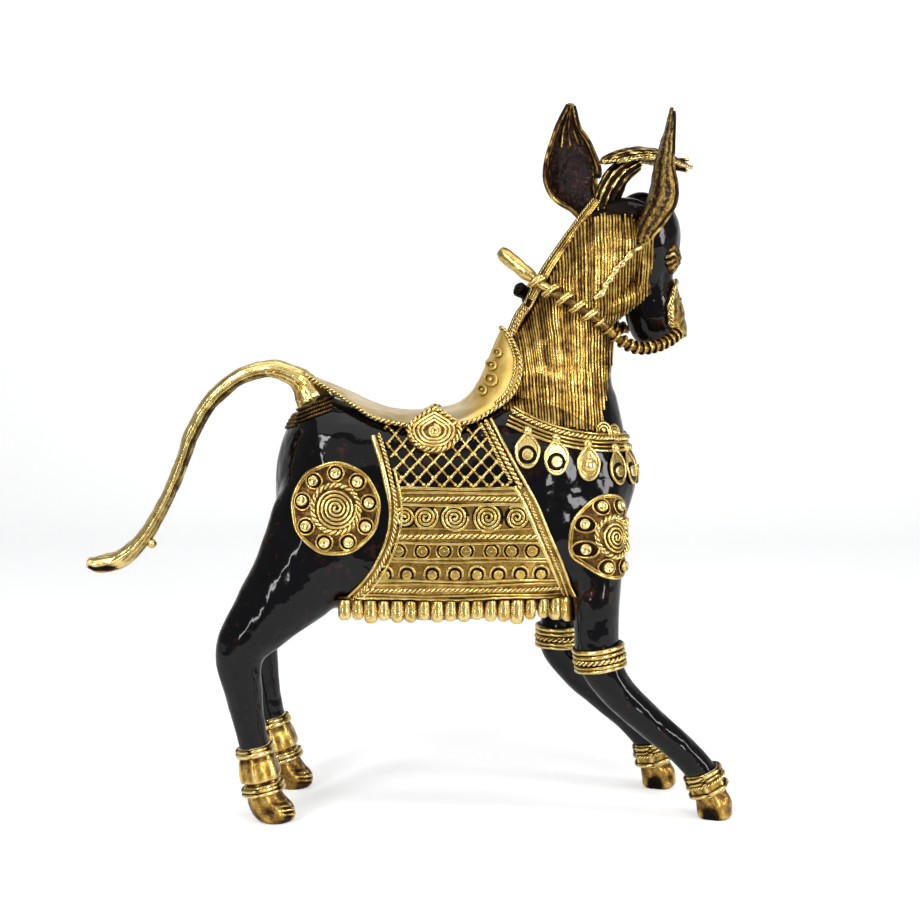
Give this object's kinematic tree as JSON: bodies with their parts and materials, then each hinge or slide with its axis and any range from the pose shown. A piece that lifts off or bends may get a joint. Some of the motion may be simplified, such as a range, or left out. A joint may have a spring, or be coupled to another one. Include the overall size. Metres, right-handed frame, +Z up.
{
  "type": "brass horse statue",
  "caption": "Standing harnessed horse in hollow cast brass with glossy black enamel on body and legs, bare brass saddle, cloth, medallions, collar and hooves; a shelf ornament.",
  "frame": {"origin": "middle of the statue's box at the level of its soles", "axes": "+X the way the horse walks, +Y its left side, +Z up"},
  "size_m": [0.2224, 0.0644, 0.2445],
  "materials": {
    "enamel": "gloss",
    "brass": "antique",
    "saddle_brass": "satin",
    "ear_enamel": "satin",
    "clay": "matte"
  },
  "bodies": {
    "root": {"torso": "enamel", "clay_core": "clay", "right_hind_leg": "enamel", "left_hind_leg": "enamel", "right_fore_leg": "enamel", "left_fore_leg": "enamel", "neck": "brass", "head": "enamel", "right_eye": "brass", "left_eye": "brass", "noseband": "brass", "left_ear": "ear_enamel", "right_ear": "ear_enamel", "crest": "brass", "right_rein": "brass", "left_rein": "brass", "saddle": "saddle_brass", "mane_braid": "brass", "right_blanket": "brass", "left_blanket": "brass", "right_saddle_drop": "brass", "left_saddle_drop": "brass", "right_hip_medallion": "brass", "left_hip_medallion": "brass", "right_shoulder_medallion": "brass", "left_shoulder_medallion": "brass", "right_fringe": "brass", "left_fringe": "brass", "breast_collar": "brass", "crupper": "brass", "tail": "brass", "right_hind_cuff": "brass", "right_hind_hoof": "brass", "left_hind_cuff": "brass", "left_hind_hoof": "brass", "right_fore_cuff": "brass", "right_fore_hoof": "brass", "right_knee_band": "brass", "left_fore_cuff": "brass", "left_fore_hoof": "brass", "left_knee_band": "brass"}
  },
  "joints": []
}
